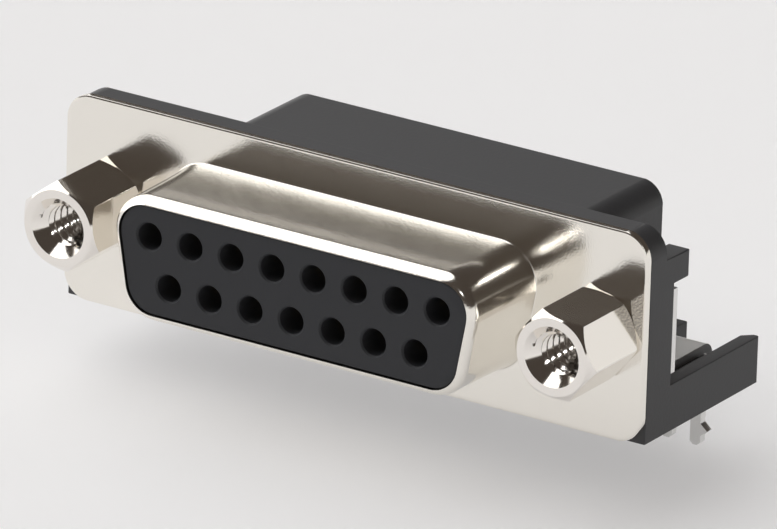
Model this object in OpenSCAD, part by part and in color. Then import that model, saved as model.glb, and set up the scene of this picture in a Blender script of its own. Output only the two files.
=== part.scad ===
// Right-angle board-mount D-sub socket connector, 15 contacts in two rows.
// X runs along the connector, the mating face looks along -Y and Z points up from the board.
// The origin is on the board's surface, midway between the two board-lock posts.

/* [Contacts] */
// Contacts in the upper row; the lower row has one fewer
upper_contacts = 8; // [5:1:13]
// Distance between neighbouring contacts in a row
contact_pitch = 2.77; // [2.7:0.01:2.9]
// Height of the upper row above the lower one
row_spacing = 2.84; // [2.7:0.02:3]
// Bore of a contact, which grips a 1 mm pin
contact_bore = 1.04; // [1:0.01:1.1]
// Outside diameter of a contact's barrel
barrel_d = 1.5; // [1.4:0.05:1.6]
// Length of a contact's barrel in front of its collar
barrel_length = 4.6; // [4.2:0.1:5]
// Depth of the bore behind the barrel's mouth
bore_depth = 4.2; // [3.8:0.1:4.2]
// Width of the slit between a contact's two tines
tine_slit = 0.22; // [0.15:0.01:0.3]
// Length of that slit
tine_length = 2.6; // [2:0.1:3.2]
// Diameter of the collar behind the barrel
collar_d = 2; // [1.9:0.05:2.2]
// Thickness of that collar
collar_t = 0.9; // [0.7:0.05:1]
// Diameter of the solder tail
tail_d = 0.64; // [0.5:0.02:0.7]
// Inside radius of the tail's bend
tail_bend = 0.6; // [0.4:0.05:0.8]
// Reach of the lower row's tails behind the flange's front
lower_tail_reach = 8.08; // [7.6:0.01:8.4]
// Reach of the upper row's tails behind the flange's front
upper_tail_reach = 10.92; // [10.5:0.01:11.1]
// Length of tail below the board's surface
tail_below = 3; // [2.4:0.1:3.1]
// Length of the taper at the tail's tip
tail_tip = 0.3; // [0.2:0.05:0.5]

/* [Shell] */
// Distance from a jack socket's axis to the flange's end
end_margin = 2.94; // [2.8:0.02:3.1]
// Height of the flange
flange_h = 12.55; // [12.3:0.05:12.7]
// Radius of the flange's corners
flange_r = 1.6; // [1:0.1:2.5]
// Thickness of the steel sheet
sheet_t = 0.45; // [0.35:0.05:0.6]
// Depth of the D-shaped collar in front of the flange
shroud_depth = 6.22; // [5.8:0.02:6.4]
// Distance from a row's last contact to the collar's end, outside, at its mouth
shroud_end = 2.465; // [2.4:0.005:2.55]
// Height of the collar, outside, at its mouth
shroud_h = 7.46; // [7.3:0.02:7.7]
// Radius of the collar's corners, outside, at its mouth
shroud_r = 2.23; // [1.9:0.01:2.6]
// Slope of the collar's two ends from upright
shroud_slope = 10; // [8:0.5:12]
// How far each side of the collar flares out where it meets the flange
shroud_flare = 0.67; // [0.5:0.01:0.75]
// Depth over which the flare falls to about a third
flare_fade = 0.85; // [0.5:0.05:1.1]
// Radius of the rolled lip at the collar's mouth
lip_r = 0.7; // [0.4:0.05:0.7]

/* [Contact block] */
// Gap between the block and the collar at its mouth
block_gap = 0.05; // [0.03:0.01:0.1]
// Depth of the block's face inside the collar's mouth
face_recess = 0.1; // [0.05:0.05:0.3]
// Diameter of the holes in the block's face
socket_hole = 1.6; // [1.55:0.05:1.7]
// How far the block's foot reaches past the collar on each side
foot_margin = 1.07; // [0.9:0.01:1.2]
// Thickness of the block's foot
foot_t = 1.1; // [1:0.05:1.2]

/* [Housing] */
// Height of the connector's centre line above the board
axis_height = 6.35; // [6.3:0.01:6.5]
// Distance of the board-lock posts behind the flange's front
lock_setback = 9.5; // [9:0.05:9.8]
// Thickness of the housing's front plate
plate_t = 1.65; // [1.6:0.05:1.9]
// Height of the housing's plate
plate_h = 12.5; // [12.4:0.05:12.6]
// Extra thickness of the plate's pads behind the jack sockets
pad_t = 0.95; // [0.8:0.05:1.05]
// Distance from a jack socket's axis to the inner side of its pad and arm
pad_inner = 2.66; // [2.5:0.02:2.7]
// Height of the pads' upper edge above the centre line
pad_top = 3; // [2.6:0.1:3.2]
// Distance from the upper row's last contact to the hood's end
hood_end = 3.005; // [2.8:0.005:3.3]
// Height of the hood's roof above the centre line
hood_top = 4.1; // [3.8:0.05:4.4]
// Depth of the hood behind the flange's front
hood_depth = 12.9; // [12.6:0.05:13.4]
// Radius of the hood's upper edges
hood_r = 1.4; // [0.8:0.1:2]
// Thickness of the hood's walls
hood_wall = 1.1; // [0.9:0.05:1.2]
// Radius of the upper corners of the room inside the hood
cavity_r = 0.6; // [0.3:0.1:0.9]
// Thickness of the wall behind the plate that guides the tails
guide_wall = 0.8; // [0.6:0.05:0.9]
// Width of the ledge inside the hood that the tail spacer meets
spacer_ledge = 0.6; // [0.4:0.05:0.8]
// Reach of the arms behind the flange's front
arm_depth = 12.55; // [12:0.05:12.8]
// Height of an arm's outer wall above the board
arm_h = 2.85; // [2.7:0.05:3]
// Height of an arm's inner wall above the board
inner_wall_h = 2.65; // [2.6:0.05:2.8]
// Thickness of an arm's outer wall
outer_wall = 0.95; // [0.8:0.05:1]
// Thickness of an arm's inner wall
inner_wall = 0.85; // [0.7:0.05:0.9]
// Chamfer on the rear corner of an arm's outer wall
arm_chamfer = 0.5; // [0.3:0.05:0.8]
// Gap between the arm's shelf and the bracket's post
shelf_gap = 0.9; // [0.7:0.05:1.2]
// Height of the catch over the bracket's upper edge
catch_h = 1.65; // [1.4:0.05:1.7]
// Height of the catch's underside above the centre line
catch_z = 2.6; // [2.5:0.05:2.7]
// Width of that catch
catch_w = 1.4; // [1:0.1:1.8]
// Reach of the catch behind the pad
catch_reach = 1.5; // [1.2:0.05:1.7]

/* [Tail spacer] */
// Thickness of the spacer that lines up the tails
spacer_t = 1.2; // [1:0.05:1.4]
// Height of the spacer's underside above the board
spacer_lift = 0.35; // [0.25:0.05:0.5]
// Play between the spacer and the hood on each side
spacer_play = 0.05; // [0.03:0.01:0.1]
// Play round each tail in the plastic
tail_play = 0.06; // [0.04:0.01:0.12]

/* [Jack sockets] */
// Distance from the upper row's last contact to the jack socket's axis
jack_end = 6.965; // [6.9:0.005:7]
// Width across the flats of a jack socket
jack_flats = 4.76; // [4.7:0.02:5]
// Height of the hexagon in front of the flange
jack_height = 5.08; // [4.8:0.02:5.2]
// Diameter of the round face left by the chamfer on the hexagon
jack_face = 4.7; // [4.4:0.05:4.75]
// Depth of that chamfer
jack_chamfer = 0.35; // [0.2:0.05:0.5]
// Minor diameter of the tapped hole
thread_minor = 2.26; // [2.2:0.02:2.3]
// Depth of the tapped hole
thread_depth = 4.6; // [4.2:0.1:4.8]
// Diameter of the countersink at its mouth
countersink_d = 3.3; // [3:0.05:3.4]
// Diameter of the jack socket's shank
shank_d = 2.8; // [2.7:0.02:2.84]
// Length of that shank behind the flange's front
shank_length = 4.4; // [4.3:0.05:4.6]
// Play between the shank and its holes in the flange and the housing
shank_play = 0.2; // [0.1:0.05:0.3]
// Turn of the left hexagon from corner up
left_turn = 8; // [0:1:59]
// Turn of the right hexagon from corner up
right_turn = 21; // [0:1:59]

/* [Ground brackets] */
// Thickness of the bracket's metal
bracket_t = 0.55; // [0.45:0.05:0.6]
// How far the upright leg's edges lie inside those of the pad
bracket_inset = 0.1; // [0.05:0.05:0.3]
// Height of the upright leg's edge above the centre line
upright_top = 2.2; // [2.1:0.05:2.4]
// Width of the bracket's level leg
level_w = 3.1; // [2.8:0.1:3.3]
// Height of the level leg's upper side above the board
level_height = 3.15; // [3.15:0.05:3.3]
// Inside radius of the bracket's bends
bracket_bend = 0.3; // [0.2:0.05:0.4]
// Width of the post over its two prongs
post_w = 2.6; // [2.4:0.1:2.9]
// Width of the slot between the prongs
post_slot = 1.2; // [0.9:0.05:1.4]
// Length of the post below the board's surface
post_below = 3.2; // [3.1:0.1:3.6]
// Height over which the post narrows to its prongs, above the board
post_shoulder = 0.4; // [0.3:0.05:0.6]
// Chamfer on the prongs' tips
prong_chamfer = 0.2; // [0.1:0.05:0.3]
// How far each prong's barb stands out
barb = 0.45; // [0.3:0.05:0.5]
// Depth of the barb's root below the board's surface
barb_depth = 1.85; // [1.7:0.05:2]
// Height of the barb
barb_h = 0.8; // [0.6:0.05:0.9]
// Clearance of the bracket's tapped hole round the shank
bracket_hole_play = 0.02; // [0.01:0.01:0.04]
// Length of the drawn rim round that hole
bracket_rim = 0.6; // [0.4:0.05:0.7]
// Wall of that rim
bracket_rim_t = 0.45; // [0.3:0.05:0.5]

/* [Hidden] */
$fn = 48;
lower_contacts = upper_contacts - 1;
contacts = upper_contacts + lower_contacts;

nickel = [0.86, 0.84, 0.80];
tin = [0.78, 0.78, 0.77];
gold = [0.86, 0.70, 0.36];
black = [0.16, 0.16, 0.17];

cut = 0.01;                                     // overshoot of a cutting body
tuck = 0.002;                                   // a straight side's depth inside its corners' rounds
plate_back = sheet_t + plate_t;
pad_back = plate_back + pad_t;
row_end = (upper_contacts - 1) * contact_pitch / 2;
shroud_w = 2 * (row_end + shroud_end);
hood_w = 2 * (row_end + hood_end);
jack_x = row_end + jack_end;                    // half the distance between the jack sockets
foot_floor = sheet_t + foot_t;                  // where the block's foot rests in the housing
collar_front = foot_floor - collar_t;
barrel_mouth = collar_front - barrel_length;
block_face = -shroud_depth + face_recess;
hood_inner_top = hood_top - hood_wall;
cavity_front = plate_back + guide_wall;
cavity_back = hood_depth - hood_wall;
spacer_top = spacer_lift + spacer_t;
outer_face = jack_x + end_margin;               // outer side of plate, pads and arms
inner_face = jack_x - pad_inner;
pad_w = pad_inner + end_margin;
flange_w = 2 * outer_face;
upright_back = pad_back + bracket_t;
level_under = level_height - bracket_t;
jack_hole_r = shank_d / 2 + shank_play;

// The flange's front is y = 0 and the centre line is z = 0 in here
module at_flange() {
    translate([0, -lock_setback, axis_height]) children();
}

// Turns a drawing in the XZ plane into a plate that runs from y0 to y1
module upright_plate(y0, y1) {
    translate([0, y1, 0]) rotate([90, 0, 0]) linear_extrude(height = y1 - y0) children();
}

// A round hole or pin along Y from y0 to y1
module along_y(r, y0, y1) {
    translate([0, y1, 0]) rotate([90, 0, 0]) cylinder(r = r, h = y1 - y0);
}

// Rectangle with rounded corners, drawn about its middle
module rounded_plate(w, h, r) {
    square([w - 2 * r, h], center = true);
    square([w, h - 2 * r], center = true);
    for (x = [-1, 1], z = [-1, 1]) translate([x * (w / 2 - r), z * (h / 2 - r)]) circle(r = r);
}

// D outline: w is its widest, across the upper corners, and its ends lean in downwards
module d_outline(w, h, r) {
    upper_x = w / 2 - r;
    centre_z = h / 2 - r;
    lower_x = upper_x - 2 * centre_z * tan(shroud_slope);
    side = [cos(shroud_slope), -sin(shroud_slope)] * (r - tuck);
    polygon([
        [-upper_x, h / 2], [upper_x, h / 2],
        [upper_x, centre_z] + side, [lower_x, -centre_z] + side,
        [lower_x, -h / 2], [-lower_x, -h / 2],
        [-lower_x - side[0], -centre_z + side[1]], [-upper_x - side[0], centre_z + side[1]]
    ]);
    for (s = [-1, 1]) {
        translate([s * upper_x, centre_z]) circle(r = r);
        translate([s * lower_x, -centre_z]) circle(r = r);
    }
}

// The D outline of the collar's mouth, grown or shrunk by the same amount all round
module d_offset(by) {
    d_outline(shroud_w + 2 * by, shroud_h + 2 * by, shroud_r + by);
}

// Drawn steel shell: flange, flared collar and rolled lip from one sheet
module front_shell() {
    flare_steps = 9;
    flare_reach = 3.5 * flare_fade;
    lip_steps = 4;
    lip_turn = 68;                              // the lip turns in by less than a right angle
    lip_start = lip_r * sin(lip_turn);
    lip_in = lip_r * (1 - cos(lip_turn));       // how far the lip comes in, in equal steps
    color(nickel) at_flange() difference() {
        union() {
            upright_plate(0, sheet_t) rounded_plate(flange_w, flange_h, flange_r);
            for (i = [1 : flare_steps]) {
                middle = flare_reach * pow((i - 0.5) / flare_steps, 2);
                reach = flare_reach * pow(i / flare_steps, 2);
                upright_plate(-reach, cut) d_offset(shroud_flare * exp(-middle / flare_fade));
            }
            upright_plate(lip_start - shroud_depth, cut) d_offset(0);
            for (i = [1 : lip_steps]) {
                turned = acos(1 - lip_in * i / lip_steps / lip_r);
                front = lip_start - shroud_depth - lip_r * sin(turned);
                upright_plate(front, cut) d_offset(-lip_in * (i - 0.5) / lip_steps);
            }
        }
        upright_plate(-shroud_depth - cut, sheet_t + cut) d_offset(-sheet_t);
        for (s = [-1, 1]) translate([s * jack_x, 0, 0]) along_y(jack_hole_r, -cut, sheet_t + cut);
    }
}

// Place of contact i: its x, its height about the centre line and its tail's reach
function upper_row(i) = i <= upper_contacts;
function contact_x(i) = upper_row(i)
    ? (i - (upper_contacts + 1) / 2) * contact_pitch
    : (i - upper_contacts - (lower_contacts + 1) / 2) * contact_pitch;
function contact_z(i) = (upper_row(i) ? 1 : -1) * row_spacing / 2;
function tail_reach(i) = upper_row(i) ? upper_tail_reach : lower_tail_reach;

module at_each_contact() {
    for (i = [1 : contacts]) translate([contact_x(i), 0, contact_z(i)]) children();
}

// Front insulator: the D-shaped nose with its sockets, on a foot held by the housing
module contact_block() {
    color(black) at_flange() difference() {
        union() {
            upright_plate(block_face, sheet_t) d_offset(-sheet_t - block_gap);
            upright_plate(sheet_t, foot_floor) d_offset(foot_margin - block_gap);
        }
        at_each_contact() {
            along_y(socket_hole / 2, block_face - cut, foot_floor);
            along_y(collar_d / 2 + block_gap, collar_front, foot_floor + cut);
        }
    }
}

// Socket contact: slit barrel, collar, and a round tail that turns down to the board
module contact(i) {
    tail_r = tail_d / 2;
    bend_r = tail_bend + tail_r;
    reach = tail_reach(i);
    drop = -axis_height - contact_z(i);
    color(gold) at_flange() translate([contact_x(i), 0, contact_z(i)]) {
        difference() {
            union() {
                along_y(barrel_d / 2, barrel_mouth, collar_front + cut);
                along_y(collar_d / 2, collar_front, foot_floor);
                along_y(tail_r, foot_floor - cut, reach - bend_r);
            }
            along_y(contact_bore / 2, barrel_mouth - cut, barrel_mouth + bore_depth);
            translate([-tine_slit / 2, barrel_mouth - cut, -barrel_d])
                cube([tine_slit, tine_length + cut, 2 * barrel_d]);
        }
        translate([0, reach - bend_r, -bend_r]) rotate([90, 0, 90])
            rotate_extrude(angle = 90) translate([bend_r, 0]) circle(r = tail_r);
        translate([0, reach, drop - tail_below + tail_tip])
            cylinder(r = tail_r, h = tail_below - tail_tip - drop - bend_r);
        translate([0, reach, drop - tail_below]) cylinder(r1 = tail_r / 2, r2 = tail_r, h = tail_tip);
    }
}

// Housing: plate behind the flange, hood over the tails, and an arm at each end
module housing() {
    color(black) at_flange() difference() {
        union() {
            housing_plate();
            hood_shape(hood_w, hood_top, hood_r, sheet_t + plate_t / 2, hood_depth);
            housing_end();
            mirror([1, 0, 0]) housing_end();
        }
        upright_plate(sheet_t - cut, foot_floor) d_offset(foot_margin);
        at_each_contact() along_y(tail_d / 2 + tail_play, sheet_t, cavity_front + cut);
        hood_hollow();
        for (s = [-1, 1]) translate([s * jack_x, 0, 0]) along_y(jack_hole_r, 0, pad_back + cut);
    }
}

// The plate has round upper corners and square lower ones, and its foot stands on the board
module housing_plate() {
    top = plate_h - axis_height;
    upright_plate(sheet_t, plate_back) {
        translate([-outer_face, -axis_height]) square([flange_w, plate_h - flange_r]);
        translate([-outer_face + flange_r, -axis_height]) square([flange_w - 2 * flange_r, plate_h]);
        for (s = [-1, 1]) translate([s * (outer_face - flange_r), top - flange_r]) circle(r = flange_r);
    }
}

// Box with two rounded upper edges, standing on the board
module hood_shape(w, top, r, y0, y1) {
    upright_plate(y0, y1) {
        translate([-w / 2, -axis_height]) square([w, axis_height + top - r]);
        translate([-w / 2 + r, -axis_height]) square([w - 2 * r, axis_height + top]);
        for (s = [-1, 1]) translate([s * (w / 2 - r), top - r]) circle(r = r);
    }
}

// Room inside the hood: a narrower part above, and the spacer's recess below
module hood_hollow() {
    upper_w = hood_w - 2 * hood_wall - 2 * spacer_ledge;
    lower_w = hood_w - 2 * hood_wall;
    upright_plate(cavity_front, cavity_back) {
        translate([-upper_w / 2, -axis_height]) square([upper_w, axis_height + hood_inner_top - cavity_r]);
        translate([-upper_w / 2 + cavity_r, -axis_height])
            square([upper_w - 2 * cavity_r, axis_height + hood_inner_top]);
        for (s = [-1, 1]) translate([s * (upper_w / 2 - cavity_r), hood_inner_top - cavity_r])
            circle(r = cavity_r);
    }
    translate([-lower_w / 2, cavity_front, -axis_height - cut])
        cube([lower_w, cavity_back - cavity_front, spacer_top + cut]);
}

// Right-hand end: pad, catch, shelf under the bracket and the two walls of the arm
module housing_end() {
    floor_z = -axis_height;
    translate([inner_face, sheet_t, floor_z]) cube([pad_w, pad_back - sheet_t, axis_height + pad_top]);
    translate([inner_face, plate_back, floor_z]) cube([inner_wall, arm_depth - plate_back, inner_wall_h]);
    translate([0, 0, floor_z]) linear_extrude(height = arm_h) polygon([
        [outer_face - outer_wall, plate_back], [outer_face, plate_back],
        [outer_face, arm_depth], [outer_face - outer_wall + arm_chamfer, arm_depth],
        [outer_face - outer_wall, arm_depth - arm_chamfer]
    ]);
    // shelf that carries the bracket's level leg
    translate([inner_face, plate_back, floor_z])
        cube([pad_w, lock_setback - bracket_t / 2 - shelf_gap - plate_back, level_under]);
    // catch over the bracket's upper edge
    translate([outer_face - catch_w, plate_back, catch_z])
        cube([catch_w, pad_t + catch_reach, catch_h]);
}

// Spacer under the hood that keeps the tails at the board's hole pattern
module tail_spacer() {
    w = hood_w - 2 * hood_wall - 2 * spacer_play;
    front = cavity_front + spacer_play;
    back = cavity_back - spacer_play;
    color(black) at_flange() difference() {
        translate([-w / 2, front, spacer_lift - axis_height]) cube([w, back - front, spacer_t]);
        for (i = [1 : contacts]) translate([contact_x(i), tail_reach(i), -axis_height])
            cylinder(r = tail_d / 2 + tail_play, h = spacer_top + cut);
    }
}

// Jack socket: hexagon with a chamfered face, tapped hole and a shank through plate and bracket
module jack_socket(side, turn) {
    corner_r = jack_flats / sqrt(3);
    sink = (countersink_d - thread_minor) / 2;
    color(nickel) at_flange() translate([side * jack_x, 0, 0]) difference() {
        union() {
            intersection() {
                rotate([90, 0, 0]) rotate([0, 0, turn + 30]) cylinder(r = corner_r, h = jack_height, $fn = 6);
                union() {
                    along_y(corner_r + cut, jack_chamfer - jack_height, 0);
                    translate([0, jack_chamfer - jack_height, 0]) rotate([90, 0, 0])
                        cylinder(r1 = corner_r + cut, r2 = jack_face / 2, h = jack_chamfer);
                }
            }
            along_y(shank_d / 2, -cut, shank_length);
        }
        along_y(thread_minor / 2, -jack_height - cut, thread_depth - jack_height);
        translate([0, sink - jack_height, 0]) rotate([90, 0, 0])
            cylinder(r1 = thread_minor / 2, r2 = countersink_d / 2 + cut, h = sink + cut);
    }
}

// Right-hand ground bracket: upright leg, level leg, and the forked post into the board
module ground_bracket() {
    hole_r = shank_d / 2 + bracket_hole_play;
    outer_bend = bracket_bend + bracket_t;
    level_z = level_under - axis_height;
    post_back = lock_setback + bracket_t / 2;
    post_front = lock_setback - bracket_t / 2;
    upright_w = pad_w - 2 * bracket_inset;
    color(tin) at_flange() translate([jack_x, 0, 0]) {
        difference() {
            union() {
                translate([bracket_inset - pad_inner, pad_back, level_z + outer_bend])
                    cube([upright_w, bracket_t, upright_top - level_z - outer_bend]);
                along_y(hole_r + bracket_rim_t, upright_back - cut, upright_back + bracket_rim);
            }
            along_y(hole_r, pad_back - cut, upright_back + bracket_rim + cut);
        }
        quarter_bend(upright_back + bracket_bend, level_z + outer_bend, 180);
        translate([-level_w / 2, upright_back + bracket_bend, level_z])
            cube([level_w, post_front - bracket_bend - upright_back - bracket_bend, bracket_t]);
        difference() {
            quarter_bend(post_front - bracket_bend, level_z - bracket_bend, 0);
            translate([-post_slot / 2, post_front, level_z - outer_bend])
                cube([post_slot, outer_bend, 2 * outer_bend]);
        }
        upright_plate(post_front, post_back) post_outline(level_z - bracket_bend);
    }
}

// Quarter of a tube across the level leg, about the line at y, z
module quarter_bend(y, z, turn) {
    translate([-level_w / 2, y, z]) rotate([90, 0, 90]) rotate([0, 0, turn])
        linear_extrude(height = level_w) intersection() {
            difference() {
                circle(r = bracket_bend + bracket_t);
                circle(r = bracket_bend);
            }
            square(bracket_bend + bracket_t);
        }
}

// The post's two prongs seen from the front, from their root at z = top
module post_outline(top) {
    board = -axis_height;
    tip = board - post_below;
    half = post_w / 2;
    inner = post_slot / 2;
    for (s = [0, 1]) mirror([s, 0]) polygon([
        [inner, top], [level_w / 2, top], [level_w / 2, board + 2 * post_shoulder],
        [half, board + post_shoulder], [half, board - barb_depth],
        [half + barb, board - barb_depth - barb_h / 2],
        [half, board - barb_depth - barb_h], [half, tip + prong_chamfer], [half - prong_chamfer, tip],
        [inner + prong_chamfer, tip], [inner, tip + prong_chamfer]
    ]);
}

front_shell();
contact_block();
housing();
tail_spacer();
jack_socket(-1, left_turn);  // jack_socket_left
jack_socket(1, right_turn);  // jack_socket_right
mirror([1, 0, 0]) ground_bracket();  // ground_bracket_left
ground_bracket();  // ground_bracket_right
for (i = [1 : contacts]) contact(i);
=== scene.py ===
"""Right-angle board-mount D-sub socket connector with 15 contacts, on a pale studio floor.

Sizes in the sections are millimetres, drawn in the flange's own axes: x along the connector,
y backwards from the flange's front and z up from the connector's centre line.
"""
from math import cos, exp, pi, radians, sin, tan

import bmesh
import bpy
from mathutils import Matrix, Vector


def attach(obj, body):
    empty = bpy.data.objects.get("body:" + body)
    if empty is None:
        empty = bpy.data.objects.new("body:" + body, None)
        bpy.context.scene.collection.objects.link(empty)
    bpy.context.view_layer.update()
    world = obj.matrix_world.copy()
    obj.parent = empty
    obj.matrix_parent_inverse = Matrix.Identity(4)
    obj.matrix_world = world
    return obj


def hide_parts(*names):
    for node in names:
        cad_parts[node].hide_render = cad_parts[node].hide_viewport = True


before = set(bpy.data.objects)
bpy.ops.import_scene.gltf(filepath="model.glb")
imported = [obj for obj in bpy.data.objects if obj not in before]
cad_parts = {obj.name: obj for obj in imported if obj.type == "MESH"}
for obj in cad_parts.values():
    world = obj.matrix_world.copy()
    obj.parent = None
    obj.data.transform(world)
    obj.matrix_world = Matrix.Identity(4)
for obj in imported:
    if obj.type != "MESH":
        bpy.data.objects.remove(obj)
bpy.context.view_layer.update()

# --- Camera ---------------------------------------------------------------------------------
# A long lens looks down on the mating face from the connector's right-hand end.
MM = 0.001
flange_centre = Vector((0, -9.5, 6.35)) * MM
sensor, lens, distance, to_right, upwards = 36, 575.1, 703.3, 2.131, 0.117

azimuth, elevation, roll = radians(32.40), radians(20.91), radians(1.74)
back = Vector((sin(azimuth) * cos(elevation), -cos(azimuth) * cos(elevation), sin(elevation)))
level = Vector((cos(azimuth), sin(azimuth), 0))
rise = back.cross(level)
right = cos(roll) * level + sin(roll) * rise
up = cos(roll) * rise - sin(roll) * level

camera = bpy.data.objects.new("camera", bpy.data.cameras.new("camera"))
bpy.context.scene.collection.objects.link(camera)
camera.data.sensor_width = sensor
camera.data.lens = lens
camera.data.clip_start = 0.05
camera.data.clip_end = 20
stand = flange_centre + (to_right * right + upwards * up + distance * back) * MM
camera.matrix_world = Matrix((
    (right.x, up.x, back.x, stand.x),
    (right.y, up.y, back.y, stand.y),
    (right.z, up.z, back.z, stand.z),
    (0, 0, 0, 1),
))
bpy.context.scene.camera = camera

# --- Studio ---------------------------------------------------------------------------------
# A light table: a milky white sheet that is also lit softly from below, so shadows stay pale. The
# room is dark brown above a pale horizon, with a bright ceiling to the left and a small window lamp.
bpy.context.scene.view_settings.view_transform = "Standard"


def principled(name, **values):
    """A material whose Principled sockets hold these values; socket names use _ for a space."""
    material = bpy.data.materials.new(name)
    material.use_nodes = True
    shader = material.node_tree.nodes["Principled BSDF"]
    for socket, value in values.items():
        shader.inputs[socket.replace("_", " ")].default_value = value
    return material, material.node_tree, shader


def add_object(name, mesh):
    thing = bpy.data.objects.new(name, mesh)
    bpy.context.scene.collection.objects.link(thing)
    return thing


floor_half = 3.0
floor_z = -3.2 * MM  # the tips of the tails stand on it
light_spread = 30 * MM
floor_mesh = bpy.data.meshes.new("floor")
floor_mesh.from_pydata(
    [(-floor_half, -floor_half, floor_z), (floor_half, -floor_half, floor_z),
     (floor_half, floor_half, floor_z), (-floor_half, floor_half, floor_z)], [], [(0, 1, 2, 3)])
floor = add_object("floor", floor_mesh)
milky_sheet, _, _ = principled("milky sheet", Base_Color=(0.62, 0.615, 0.617, 1), Roughness=0.9,
                               Specular_IOR_Level=0.1, Subsurface_Weight=1.0,
                               Subsurface_Scale=light_spread, Subsurface_Radius=(1.0, 1.0, 1.0),
                               Emission_Color=(1.0, 0.985, 0.98, 1), Emission_Strength=0.37)
floor_mesh.materials.append(milky_sheet)

world = bpy.data.worlds.new("studio")
bpy.context.scene.world = world
world.use_nodes = True
nodes, links = world.node_tree.nodes, world.node_tree.links
direction = nodes.new("ShaderNodeTexCoord").outputs["Generated"]
PALE, DARK, BRIGHT = (0.88, 0.865, 0.84), (0.062, 0.051, 0.043), (1.75, 1.75, 1.75)


def beyond(slope, start, end):
    """0 to 1 as the direction's height, sloped by x and y, goes from start to end."""
    along = nodes.new("ShaderNodeVectorMath")
    along.operation = "DOT_PRODUCT"
    links.new(direction, along.inputs[0])
    along.inputs[1].default_value = (*slope, 1)
    step = nodes.new("ShaderNodeMapRange")
    step.interpolation_type = "SMOOTHSTEP"
    links.new(along.outputs["Value"], step.inputs["Value"])
    step.inputs["From Min"].default_value = start
    step.inputs["From Max"].default_value = end
    return step.outputs["Result"]


def blend(share, low, high):
    """Colour that goes from low to high with the share; each is a colour or a socket."""
    mix = nodes.new("ShaderNodeMix")
    mix.data_type = "RGBA"
    links.new(share, mix.inputs["Factor"])
    for socket, colour in ((mix.inputs[6], low), (mix.inputs[7], high)):
        if isinstance(colour, tuple):
            socket.default_value = (*colour, 1)
        else:
            links.new(colour, socket)
    return mix.outputs[2]


# the horizon ends 4 degrees up in front and 13 behind; the ceiling comes lowest on the left
walls = blend(beyond(slope=(0, -0.08), start=0.07, end=0.15), PALE, DARK)
room = blend(beyond(slope=(-1.2, 0), start=1.045, end=1.1), walls, BRIGHT)
seen = nodes.new("ShaderNodeLightPath").outputs["Is Camera Ray"]
links.new(blend(seen, room, PALE), nodes["Background"].inputs["Color"])

window_way, window_distance = Vector((0.357, -0.789, 0.50)).normalized(), 0.60
window_side, window_radiance = 0.03, 45.0
window_light = bpy.data.lights.new("window", "AREA")
window_light.size = window_side
window_light.energy = window_radiance * pi * window_side * window_side
window = bpy.data.objects.new("window", window_light)
bpy.context.scene.collection.objects.link(window)
window.location = flange_centre + window_way * window_distance
window.rotation_euler = window_way.to_track_quat("Z", "Y").to_euler()

# --- Front shell ----------------------------------------------------------------------------
# Flange and D-shaped collar drawn from one steel sheet and nickel plated. The collar flares out
# where it leaves the flange and its lip is rolled in. The jack sockets clamp it to the housing.
AT_FLANGE = Matrix.Translation(flange_centre) @ Matrix.Scale(MM, 4)


def corners_of(points, turns):
    """Rounded corners, each as centre x, centre z, first angle and last angle."""
    return [(x, z, radians(a), radians(b)) for (x, z), (a, b) in zip(points, zip(turns, turns[1:]))]


def add_ring(bm, corners, radius, y, steps=12):
    """Closed ring of vertices at depth y that rounds each corner with this radius."""
    return [
        bm.verts.new((x + radius * cos(a + (b - a) * k / steps), y,
                      z + radius * sin(a + (b - a) * k / steps)))
        for x, z, a, b in corners for k in range(steps + 1)
    ]


def loft(bm, rings):
    """Walls between neighbouring rings of equal length."""
    for one, other in zip(rings, rings[1:]):
        for k in range(len(one)):
            bm.faces.new((one[k - 1], one[k], other[k], other[k - 1]))


def angles(whole, steps):
    """Angles from 0 in equal steps, short of the whole turn."""
    return [whole * k / steps for k in range(steps)]


def fill_between(bm, rings):
    """One flat face between an outer ring and the rings of its holes."""
    edges = [bm.edges.get((ring[k - 1], ring[k])) for ring in rings for k in range(len(ring))]
    bmesh.ops.triangle_fill(bm, use_beauty=True, edges=edges)


def mesh_of(bm, name, crease=32):
    """Mesh in metres and in the row's frame, smooth where faces meet at less than the crease."""
    bmesh.ops.transform(bm, matrix=AT_FLANGE, verts=bm.verts)
    bmesh.ops.recalc_face_normals(bm, faces=bm.faces)
    for face in bm.faces:
        face.smooth = True
    for edge in bm.edges:
        edge.smooth = edge.calc_face_angle(0) < radians(crease)
    mesh = bpy.data.meshes.new(name)
    bm.to_mesh(mesh)
    bm.free()
    return mesh


def weigh_normals(thing):
    """Wide faces keep their flat look next to narrow bends."""
    weigh = thing.modifiers.new("weighted normals", "WEIGHTED_NORMAL")
    weigh.keep_sharp = True


flange_w, flange_h, flange_r, sheet = 39.2, 12.55, 1.6, 0.45
jack_x, jack_hole_r = 16.66, 1.6
mouth_w, mouth_h, mouth_r, mouth_lean = 24.32, 7.46, 2.23, 10
collar_depth, draft, flare, flare_fade = 6.22, 0.07, 0.14, 0.9
lip_turn, lip_r, bend_turn, bend_r = radians(68), 0.7, radians(80), 0.07
roll_turn, roll_r, shear, burr_r = radians(32), 0.32, 0.01, 0.03

upper_x, centre_z = mouth_w / 2 - mouth_r, mouth_h / 2 - mouth_r
lower_x = upper_x - 2 * centre_z * tan(radians(mouth_lean))
d_corners = corners_of(
    [(upper_x, centre_z), (-upper_x, centre_z), (-lower_x, -centre_z), (lower_x, -centre_z)],
    [-mouth_lean, 90, 180 + mouth_lean, 270, 360 - mouth_lean])
edge_x, edge_z = flange_w / 2 - flange_r, flange_h / 2 - flange_r
flange_corners = corners_of(
    [(edge_x, edge_z), (-edge_x, edge_z), (-edge_x, -edge_z), (edge_x, -edge_z)],
    [0, 90, 180, 270, 360])

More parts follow.
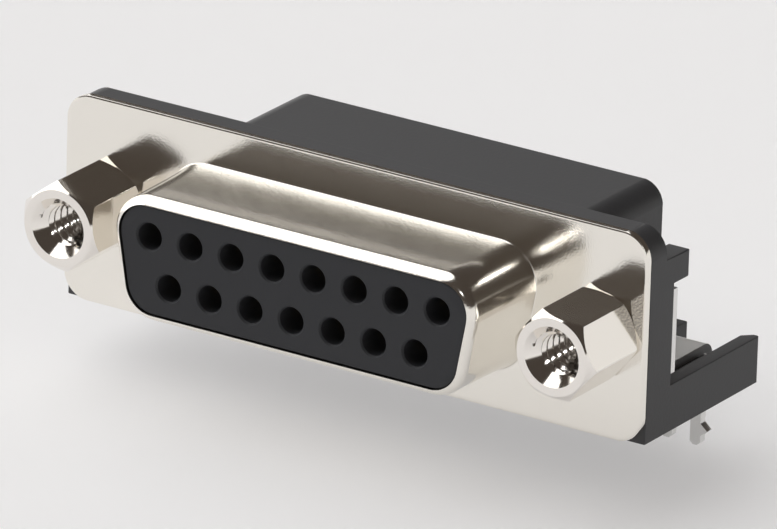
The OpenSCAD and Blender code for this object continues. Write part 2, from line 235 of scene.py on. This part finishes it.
# the collar's section as (offset from the D at the mouth, y): the bend out of the flange, the
# fading flare, the straight wall, the lip and the inner wall
lip_start = lip_r * sin(lip_turn) - collar_depth
inside = -sheet


def wall_offset(y):
    return draft * (1 - y / lip_start) + flare * exp(y / flare_fade)


bend_depth = bend_r * (1 - cos(bend_turn))
bend_start = wall_offset(-bend_depth) + bend_r * sin(bend_turn)
wall_stations = (-bend_depth, -0.12, -0.18, -0.25, -0.32, -0.4, -0.5, -0.6, -0.72, -0.86, -1.02, -1.2,
                 -1.4, -1.65, -1.9, -2.2, -2.6, -3.2, -4)
section = [(bend_start - bend_r * sin(a), bend_r * (cos(a) - 1)) for a in angles(bend_turn, 5)]
section += [(wall_offset(y), y) for y in wall_stations]
section += [(-lip_r * (1 - cos(a)), lip_start - lip_r * sin(a)) for a in angles(lip_turn, 8) + [lip_turn]]
section += [(inside, burr_r - collar_depth), (inside, sheet)]

bm = bmesh.new()
collar_rings = [add_ring(bm, d_corners, mouth_r + by, y) for by, y in section]
loft(bm, collar_rings)
# the flange's edge is drawn round by the shears in front and has a small burr behind
roll_in, roll_depth = roll_r * sin(roll_turn), roll_r * (1 - cos(roll_turn))
edge_section = [(roll_r * sin(a) - roll_in, roll_r * (1 - cos(a))) for a in angles(roll_turn, 5)]
edge_section += [(-shear, roll_depth - shear), (0, roll_depth + 2 * shear)]
edge_section += [(0, sheet - burr_r), (-burr_r, sheet)]
edge_rings = [add_ring(bm, flange_corners, flange_r + by, y) for by, y in edge_section]
loft(bm, edge_rings)
front_loops, back_loops = [edge_rings[0], collar_rings[0]], [edge_rings[-1], collar_rings[-1]]
hole_steps = 39
for x in (-jack_x, jack_x):
    circle = [(x, 0, 0, 2 * pi * hole_steps / (hole_steps + 1))]
    hole_rings = [add_ring(bm, circle, jack_hole_r, y, hole_steps) for y in (0, sheet)]
    loft(bm, hole_rings)
    front_loops.append(hole_rings[0])
    back_loops.append(hole_rings[1])
fill_between(bm, front_loops)
fill_between(bm, back_loops)
shell = add_object("front_shell_sheet", mesh_of(bm, "front shell"))
weigh_normals(shell)


def plated(name, colour, roughness, grain_mm, grain_depth_mm, wave_depth_mm, wave_mm=2.6):
    """Plated metal: fine grain from the bath over the slight waviness of the rolled sheet."""
    material, tree, shader = principled(name, Base_Color=(*colour, 1), Metallic=1.0, Roughness=roughness)
    nodes, links = tree.nodes, tree.links
    place = nodes.new("ShaderNodeTexCoord")
    last = None
    for size_mm, depth_mm in ((wave_mm, wave_depth_mm), (grain_mm, grain_depth_mm)):
        noise = nodes.new("ShaderNodeTexNoise")
        noise.inputs["Scale"].default_value = 1 / (size_mm * MM)
        noise.inputs["Detail"].default_value = 3
        links.new(place.outputs["Object"], noise.inputs["Vector"])
        bump = nodes.new("ShaderNodeBump")
        bump.inputs["Distance"].default_value = depth_mm * MM
        links.new(noise.outputs["Fac"], bump.inputs["Height"])
        if last:
            links.new(last.outputs["Normal"], bump.inputs["Normal"])
        last = bump
    links.new(last.outputs["Normal"], shader.inputs["Normal"])
    return material


shell.data.materials.append(plated("shell nickel", (0.90, 0.87, 0.81), roughness=0.135, grain_mm=0.13,
                                   grain_depth_mm=0.004, wave_depth_mm=0.008))
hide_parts("front_shell")
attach(shell, "root")

# --- Contact block --------------------------------------------------------------------------
# Black glass-filled polyester moulding: a D-shaped nose in the collar on a foot that the housing
# holds. Its 15 holes have a small lead-in and are cut by a node group with the contact spacing.
block_gap, face_recess, nose_edge = 0.05, 0.1, 0.1
nose, foot, foot_front, foot_floor = inside - block_gap, 1.02, sheet, 1.55
nose_front = -collar_depth + face_recess
bm = bmesh.new()
block_section = [(nose - nose_edge * (1 - sin(a)), nose_front + nose_edge * (1 - cos(a)))
                 for a in (radians(22.5 * k) for k in range(5))]
block_section += [(nose, foot_front), (foot, foot_front), (foot, foot_floor)]
block_rings = [add_ring(bm, d_corners, mouth_r + by, y) for by, y in block_section]
loft(bm, block_rings)
fill_between(bm, [block_rings[0]])
fill_between(bm, [block_rings[-1]])
block = add_object("contact_block_moulding", mesh_of(bm, "contact block"))


def node_group(name, values):
    """A modifier's node group with a named input for each value, and its input and output nodes."""
    group = bpy.data.node_groups.new(name, "GeometryNodeTree")
    group.is_modifier = True
    group.interface.new_socket("Geometry", in_out="INPUT", socket_type="NodeSocketGeometry")
    group.interface.new_socket("Geometry", in_out="OUTPUT", socket_type="NodeSocketGeometry")
    for title, value in values.items():
        kind = "NodeSocketInt" if isinstance(value, int) else "NodeSocketFloat"
        group.interface.new_socket(title, in_out="INPUT", socket_type=kind)
    return group, group.nodes.new("NodeGroupInput").outputs, group.nodes.new("NodeGroupOutput").inputs


def add_node(group, kind, settings=None, **inputs):
    """A node's first output; inputs are named with _ for a space, or i0, i1 and so on by number."""
    node = group.nodes.new(kind)
    for key, value in (settings or {}).items():
        setattr(node, key, value)
    for title, value in inputs.items():
        numbered = title[0] == "i" and title[1:].isdigit()
        socket = node.inputs[int(title[1:]) if numbered else title.replace("_", " ")]
        for source in value if isinstance(value, list) else [value]:
            if isinstance(source, bpy.types.NodeSocket):
                group.links.new(source, socket)
            else:
                socket.default_value = source
    return node.outputs[0]


def maths(group, operation, *values):
    """The output of a maths node fed with sockets or numbers."""
    return add_node(group, "ShaderNodeMath", {"operation": operation},
                    **{f"i{k}": value for k, value in enumerate(values)})


def row_of_points(group, count, pitch, y, z):
    """Points of one contact row: count of them, a pitch apart, centred on x = 0."""
    gaps = maths(group, "SUBTRACT", count, 1)
    first = maths(group, "MULTIPLY", gaps, maths(group, "MULTIPLY", pitch, -0.5))
    start = add_node(group, "ShaderNodeCombineXYZ", X=first, Y=y, Z=z)
    step = add_node(group, "ShaderNodeCombineXYZ", X=pitch)
    return add_node(group, "GeometryNodeMeshLine", Count=count, Start_Location=start, Offset=step)


def copies(group, points, instance):
    each = add_node(group, "GeometryNodeInstanceOnPoints", Points=points, Instance=instance)
    return add_node(group, "GeometryNodeRealizeInstances", Geometry=each)


def run_nodes(thing, group, values):
    """Runs the node group on the object with these values and keeps the result as a plain mesh."""
    modifier = thing.modifiers.new(group.name, "NODES")
    modifier.node_group = group
    for socket in group.interface.items_tree:
        if socket.name in values:
            modifier[socket.identifier] = values[socket.name]
    make_plain(thing)


def make_plain(thing):
    """Replaces the object's mesh with its evaluated one and drops the modifiers."""
    evaluated = thing.evaluated_get(bpy.context.evaluated_depsgraph_get())
    mesh = bpy.data.meshes.new_from_object(evaluated)
    thing.modifiers.clear()
    thing.data = mesh


def smooth_under(thing, crease=32):
    """Shades the mesh smooth where its faces meet at less than the crease angle."""
    bm = bmesh.new()
    bm.from_mesh(thing.data)
    for face in bm.faces:
        face.smooth = True
    for edge in bm.edges:
        edge.smooth = edge.calc_face_angle(0) < radians(crease)
    bm.to_mesh(thing.data)
    bm.free()


def moulded(name, colour, roughness, specular, grain_mm, grain_depth_mm):
    """Moulded plastic with the faint spark-eroded grain of its tool."""
    material, tree, shader = principled(name, Base_Color=(*colour, 1), Roughness=roughness,
                                        Specular_IOR_Level=specular)
    nodes, links = tree.nodes, tree.links
    place = nodes.new("ShaderNodeTexCoord")
    noise = nodes.new("ShaderNodeTexNoise")
    noise.inputs["Scale"].default_value = 1 / (grain_mm * MM)
    noise.inputs["Detail"].default_value = 4
    links.new(place.outputs["Object"], noise.inputs["Vector"])
    bump = nodes.new("ShaderNodeBump")
    bump.inputs["Distance"].default_value = grain_depth_mm * MM
    links.new(noise.outputs["Fac"], bump.inputs["Height"])
    links.new(bump.outputs["Normal"], shader.inputs["Normal"])
    return material


block_plastic = moulded("block plastic", (0.042, 0.043, 0.047), roughness=0.45, specular=0.18,
                        grain_mm=0.16, grain_depth_mm=0.006)
contact_spacing = {"Upper count": 8, "Pitch": 2.77 * MM, "Row spacing": 2.84 * MM,
                   "Axis height": flange_centre.z}
hole_values = dict(contact_spacing)
hole_values.update({"Hole radius": 0.8 * MM, "Lead in": 0.1 * MM, "Hole depth": 12 * MM,
                    "Face y": flange_centre.y + nose_front * MM})
holes, given, made = node_group("Socket holes", hole_values)


def two_rows(group, given, y):
    """Points of the upper row and of the lower row, which has one contact fewer."""
    half = maths(group, "MULTIPLY", given["Row spacing"], 0.5)
    above = maths(group, "ADD", given["Axis height"], half)
    below = maths(group, "SUBTRACT", given["Axis height"], half)
    fewer = maths(group, "SUBTRACT", given["Upper count"], 1)
    return [row_of_points(group, given["Upper count"], given["Pitch"], y, above),
            row_of_points(group, fewer, given["Pitch"], y, below)]


rows = add_node(holes, "GeometryNodeJoinGeometry", Geometry=two_rows(holes, given, given["Face y"]))
drill = add_node(holes, "GeometryNodeMeshCylinder", Vertices=40, Radius=given["Hole radius"],
                 Depth=given["Hole depth"])
# the lead-in's cutter is twice as long and wide as the lead-in, with its middle on the block's face
twice = maths(holes, "MULTIPLY", given["Lead in"], 2)
cone = add_node(holes, "GeometryNodeMeshCone", Vertices=40, Radius_Bottom=given["Hole radius"],
                Radius_Top=maths(holes, "ADD", given["Hole radius"], twice), Depth=twice)
set_in = add_node(holes, "ShaderNodeCombineXYZ", Z=maths(holes, "MULTIPLY", given["Lead in"], -1))
cone = add_node(holes, "GeometryNodeTransform", Geometry=cone, Translation=set_in)
cutters = []
for tool in (drill, cone):
    forwards = add_node(holes, "GeometryNodeTransform", Geometry=tool, Rotation=(pi / 2, 0, 0))
    cutters.append(copies(holes, rows, forwards))
drilled = add_node(holes, "GeometryNodeMeshBoolean", {"operation": "DIFFERENCE", "solver": "EXACT"},
                   Mesh_1=given["Geometry"], Mesh_2=cutters)
whole = add_node(holes, "GeometryNodeRealizeInstances", Geometry=drilled)
coated = add_node(holes, "GeometryNodeSetMaterial", Geometry=whole, Material=block_plastic)
holes.links.new(coated, made[0])
run_nodes(block, holes, hole_values)
smooth_under(block)
weigh_normals(block)
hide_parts("contact_block")
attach(block, "root")

# --- Housing --------------------------------------------------------------------------------
# One black moulding: a plate behind the flange, a hood over the tails and an arm at each end.
# The contact block and the shell snap to its front, and every outer edge has a small radius.


def solid_copy(node):
    """A welded copy of a CAD node with its flat faces in one piece."""
    bm = bmesh.new()
    bm.from_mesh(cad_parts[node].data)
    bmesh.ops.remove_doubles(bm, verts=bm.verts, dist=1e-7)
    bmesh.ops.dissolve_limit(bm, angle_limit=radians(0.5), verts=bm.verts, edges=bm.edges,
                             delimit={"NORMAL"})
    mesh = bpy.data.meshes.new(node)
    bm.to_mesh(mesh)
    bm.free()
    return mesh


def round_edges(mesh, radius_mm, shortest_mm, steps=2):
    """Rounds the outer corners that are sharper than 40 degrees and longer than the shortest."""
    bm = bmesh.new()
    bm.from_mesh(mesh)
    edges = [e for e in bm.edges if e.is_manifold and e.is_convex
             and e.calc_face_angle(0) > radians(40) and e.calc_length() > shortest_mm * MM]
    bmesh.ops.bevel(bm, geom=edges, offset=radius_mm * MM, segments=steps, profile=0.5,
                    affect="EDGES", clamp_overlap=False)
    bm.to_mesh(mesh)
    bm.free()


housing = add_object("housing_moulding", solid_copy("housing"))
round_edges(housing.data, radius_mm=0.08, shortest_mm=0.5)
smooth_under(housing)
weigh_normals(housing)
housing_plastic = moulded("housing plastic", (0.068, 0.068, 0.071), roughness=0.38, specular=0.2,
                          grain_mm=0.22, grain_depth_mm=0.008)
housing.data.materials.append(housing_plastic)
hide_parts("housing")
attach(housing, "root")

# --- Tail spacer ----------------------------------------------------------------------------
# A flat black moulding inside the hood that keeps the tails at the board's hole pattern.
spacer = add_object("tail_spacer_moulding", solid_copy("tail_spacer"))
round_edges(spacer.data, radius_mm=0.05, shortest_mm=0.5)
smooth_under(spacer)
weigh_normals(spacer)
spacer.data.materials.append(housing_plastic)
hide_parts("tail_spacer")
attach(spacer, "root")

# --- Contacts -------------------------------------------------------------------------------
# Turned brass sockets: a gold-plated barrel with two tines, a collar that seats in the block, and
# a tinned round tail bent down to the board. One node group makes both rows.
gold = plated("contact gold", (0.95, 0.72, 0.36), roughness=0.22, grain_mm=0.2, grain_depth_mm=0.002,
              wave_depth_mm=0.004)
tail_tin = plated("tail tin", (0.76, 0.76, 0.75), roughness=0.3, grain_mm=0.2, grain_depth_mm=0.004,
                  wave_depth_mm=0.01)
contact_values = dict(contact_spacing)
contact_values.update({
    "Flange y": flange_centre.y, "Barrel radius": 0.75 * MM, "Bore radius": 0.52 * MM,
    "Barrel length": 4.6 * MM, "Bore depth": 4.2 * MM, "Slit width": 0.22 * MM, "Slit length": 2.6 * MM,
    "Collar radius": 1.0 * MM, "Collar length": 0.9 * MM, "Collar back": foot_floor * MM,
    "Tail radius": 0.32 * MM, "Bend radius": 0.92 * MM, "Upper reach": 10.92 * MM,
    "Lower reach": 8.08 * MM, "Board side": 3.0 * MM, "Tip length": 0.3 * MM,
})
contacts_group, given, made = node_group("Contact rows", contact_values)


def rod(group, radius, length, y_middle, vertices=32):
    """A round rod along y about the contact's axis."""
    upright = add_node(group, "GeometryNodeMeshCylinder", Vertices=vertices, Radius=radius, Depth=length)
    where = add_node(group, "ShaderNodeCombineXYZ", Y=y_middle)
    return add_node(group, "GeometryNodeTransform", Geometry=upright, Rotation=(pi / 2, 0, 0),
                    Translation=where)


g = contacts_group
collar_front = maths(g, "SUBTRACT", given["Collar back"], given["Collar length"])
barrel_mouth = maths(g, "SUBTRACT", collar_front, given["Barrel length"])
barrel = rod(g, given["Barrel radius"], given["Barrel length"],
             maths(g, "ADD", barrel_mouth, maths(g, "MULTIPLY", given["Barrel length"], 0.5)))
bore = rod(g, given["Bore radius"], maths(g, "MULTIPLY", given["Bore depth"], 2), barrel_mouth)
slit_size = add_node(g, "ShaderNodeCombineXYZ", X=given["Slit width"],
                     Y=maths(g, "MULTIPLY", given["Slit length"], 2),
                     Z=maths(g, "MULTIPLY", given["Barrel radius"], 4))
slit_place = add_node(g, "ShaderNodeCombineXYZ", Y=barrel_mouth)
slit = add_node(g, "GeometryNodeTransform", Geometry=add_node(g, "GeometryNodeMeshCube", Size=slit_size),
                Translation=slit_place)
tines = add_node(g, "GeometryNodeMeshBoolean", {"operation": "DIFFERENCE", "solver": "EXACT"},
                 Mesh_1=barrel, Mesh_2=[bore, slit])
half_collar = maths(g, "MULTIPLY", given["Collar length"], 0.5)
collar = rod(g, given["Collar radius"], given["Collar length"],
             maths(g, "SUBTRACT", given["Collar back"], half_collar))
socket_end = add_node(g, "GeometryNodeSetMaterial", Material=gold,
                      Geometry=add_node(g, "GeometryNodeJoinGeometry", Geometry=[tines, collar]))
row_results = []
for points, reach, side in zip(two_rows(g, given, given["Flange y"]),
                               ("Upper reach", "Lower reach"), (0.5, -0.5)):
    # four points: behind the collar, over the hole in the board, above the tip and at the tip
    step = add_node(g, "GeometryNodeInputIndex")
    backwards = maths(g, "MINIMUM", step, 1)
    downwards = maths(g, "MAXIMUM", maths(g, "SUBTRACT", maths(g, "MINIMUM", step, 2), 1), 0)
    at_tip = maths(g, "MAXIMUM", maths(g, "SUBTRACT", step, 2), 0)
    run = maths(g, "SUBTRACT", given[reach], given["Collar back"])
    height = maths(g, "ADD", given["Axis height"], maths(g, "MULTIPLY", given["Row spacing"], side))
    drop = maths(g, "SUBTRACT", maths(g, "ADD", height, given["Board side"]), given["Tip length"])
    y = maths(g, "ADD", given["Collar back"], maths(g, "MULTIPLY", backwards, run))
    z = maths(g, "MULTIPLY", maths(g, "ADD", maths(g, "MULTIPLY", downwards, drop),
                                   maths(g, "MULTIPLY", at_tip, given["Tip length"])), -1)
    path = add_node(g, "GeometryNodeSetPosition", Position=add_node(g, "ShaderNodeCombineXYZ", Y=y, Z=z),
                    Geometry=add_node(g, "GeometryNodeMeshLine", Count=4))
    path = add_node(g, "GeometryNodeMeshToCurve", Mesh=path)
    path = add_node(g, "GeometryNodeSetCurveRadius", Curve=path, Radius=1.0)
    path = add_node(g, "GeometryNodeFilletCurve", {"mode": "POLY"}, Curve=path,
                    Radius=given["Bend radius"], Limit_Radius=True, Count=10)
    tip = add_node(g, "GeometryNodeCurveEndpointSelection", Start_Size=0, End_Size=1)
    path = add_node(g, "GeometryNodeSetCurveRadius", Curve=path, Selection=tip, Radius=0.5)
    wire = add_node(g, "GeometryNodeCurvePrimitiveCircle", Resolution=20, Radius=given["Tail radius"])
    tail = add_node(g, "GeometryNodeCurveToMesh", Curve=path, Profile_Curve=wire, Fill_Caps=True)
    tail = add_node(g, "GeometryNodeSetMaterial", Geometry=tail, Material=tail_tin)
    contact = add_node(g, "GeometryNodeJoinGeometry", Geometry=[socket_end, tail])
    row_results.append(copies(g, points, contact))
every = add_node(g, "GeometryNodeJoinGeometry", Geometry=row_results)
g.links.new(add_node(g, "GeometryNodeRealizeInstances", Geometry=every), made[0])
contacts = add_object("contact_rows", bpy.data.meshes.new("contacts"))
run_nodes(contacts, contacts_group, contact_values)
smooth_under(contacts)
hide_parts(*[f"contact_{i}" for i in range(1, 16)])
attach(contacts, "root")

# --- Jack sockets ---------------------------------------------------------------------------
# Nickel-plated hexagonal standoffs, chamfered at both ends, with a countersunk and tapped hole.
# Their shanks pass through the flange and the housing into the ground brackets and hold all three.
thread_values = {"Inner radius": 1.10 * MM, "Thread depth": 0.32 * MM, "Lead": 0.635 * MM,
                 "Length": 4.4 * MM, "Steps round": 48, "Rings": 84}
thread, given, made = node_group("Thread cutter", thread_values)
tube = thread.nodes.new("GeometryNodeMeshCylinder")
for title, source in (("Vertices", "Steps round"), ("Side Segments", "Rings"),
                      ("Radius", "Inner radius"), ("Depth", "Length")):
    thread.links.new(given[source], tube.inputs[title])
spot = add_node(thread, "GeometryNodeInputPosition")
axes = thread.nodes.new("ShaderNodeSeparateXYZ")
thread.links.new(spot, axes.inputs[0])
x, y, z = axes.outputs
round_part = maths(thread, "DIVIDE", maths(thread, "ARCTAN2", y, x), 2 * pi)
turn = maths(thread, "SUBTRACT", maths(thread, "DIVIDE", z, given["Lead"]), round_part)
# a triangle wave from 0 to 1 with its crests and roots cut flat
wave = maths(thread, "PINGPONG", maths(thread, "MULTIPLY", turn, 2), 1.0)
flat = thread.nodes.new("ShaderNodeMapRange")
thread.links.new(wave, flat.inputs["Value"])
crest_flat, root_flat = 0.15, 0.9
flat.inputs["From Min"].default_value = crest_flat
flat.inputs["From Max"].default_value = root_flat
groove = maths(thread, "MULTIPLY", flat.outputs[0], given["Thread depth"])
radius = maths(thread, "ADD", given["Inner radius"], groove)
grown = maths(thread, "DIVIDE", radius, given["Inner radius"])
wide = add_node(thread, "ShaderNodeCombineXYZ", X=maths(thread, "MULTIPLY", x, grown),
                Y=maths(thread, "MULTIPLY", y, grown), Z=z)
helix = add_node(thread, "GeometryNodeSetPosition", Geometry=tube.outputs[0], Position=wide)
helix = add_node(thread, "GeometryNodeTransform", Geometry=helix, Rotation=(pi / 2, 0, 0))
whole = add_node(thread, "GeometryNodeRealizeInstances", Geometry=helix)
jack_nickel = plated("jack nickel", (0.88, 0.845, 0.80), roughness=0.11, grain_mm=0.15,
                     grain_depth_mm=0.001, wave_depth_mm=0.004)
coated = add_node(thread, "GeometryNodeSetMaterial", Geometry=whole, Material=jack_nickel)
thread.links.new(coated, made[0])
jack_height, bar_r, shank_length, thread_middle = 5.08, 2.8, 4.6, 2.3
front_r, front_chamfer, rear_r, rear_chamfer = 2.3, 0.55, 2.35, 0.45
sink_r, sink_end_r, sink_depth, sink_over, sink_over_r = 1.8, 1.12, 0.75, 0.1, 0.08
# lathe profiles as (y, radius): the bar turned down to both chamfers, and the countersink's cutter
turned_bar = [(-jack_height, front_r), (-jack_height + front_chamfer, bar_r), (-rear_chamfer, bar_r),
              (0, rear_r), (shank_length, rear_r)]
countersink = [(-jack_height - sink_over, sink_r + sink_over_r), (-jack_height, sink_r),
               (-jack_height + sink_depth, sink_end_r)]


def turned(name, profile, steps=72):
    """A lathe-turned solid about the y axis from (y, radius) pairs, in millimetres."""
    bm = bmesh.new()
    around = [2 * pi * k / steps for k in range(steps)]
    rings = [[bm.verts.new((r * cos(a), y, r * sin(a))) for a in around] for y, r in profile]
    loft(bm, rings)
    for ring in (rings[0], rings[-1]):
        bm.faces.new(ring)
    bmesh.ops.recalc_face_normals(bm, faces=bm.faces)
    mesh = bpy.data.meshes.new(name)
    bm.to_mesh(mesh)
    bm.free()
    return add_object(name, mesh)


def boolean(thing, operation, tool):
    """Cuts or keeps with the tool, which is deleted."""
    cut = thing.modifiers.new(tool.name, "BOOLEAN")
    cut.operation = operation
    cut.object = tool
    make_plain(thing)
    bpy.data.objects.remove(tool)


for side, name in ((-1, "left"), (1, "right")):
    at_jack = AT_FLANGE @ Matrix.Translation((side * jack_x, 0, 0))
    jack = add_object(f"jack_socket_{name}_turned", solid_copy(f"jack_socket_{name}"))
    round_edges(jack.data, radius_mm=0.05, shortest_mm=0.4)
    jack.data.materials.append(jack_nickel)
    bar = turned("turned_bar", turned_bar)
    bar.data.transform(at_jack)
    boolean(jack, "INTERSECT", bar)
    sink = turned("countersink", countersink)
    sink.data.transform(at_jack)
    boolean(jack, "DIFFERENCE", sink)
    cutter = add_object("thread_cutter", bpy.data.meshes.new("thread cutter"))
    run_nodes(cutter, thread, thread_values)
    along = Matrix.Translation((0, -jack_height + thread_middle, 0))
    cutter.data.transform(at_jack @ along @ Matrix.Scale(1 / MM, 4))
    boolean(jack, "DIFFERENCE", cutter)
    smooth_under(jack)
    weigh_normals(jack)
    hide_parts(f"jack_socket_{name}")
    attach(jack, "root")

# --- Ground brackets ------------------------------------------------------------------------
# Tinned brass strip, blanked and folded: an upright leg tapped for the jack socket, a level leg
# over the housing's arm, and a forked post whose barbed prongs snap into the board.
bracket_tin = plated("bracket tin", (0.77, 0.765, 0.75), roughness=0.3, grain_mm=0.14,
                     grain_depth_mm=0.005, wave_depth_mm=0.02)
for side in ("left", "right"):
    bracket = add_object(f"ground_bracket_{side}_strip", solid_copy(f"ground_bracket_{side}"))
    round_edges(bracket.data, radius_mm=0.04, shortest_mm=0.3)
    smooth_under(bracket)
    weigh_normals(bracket)
    bracket.data.materials.append(bracket_tin)
    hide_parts(f"ground_bracket_{side}")
    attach(bracket, "root")
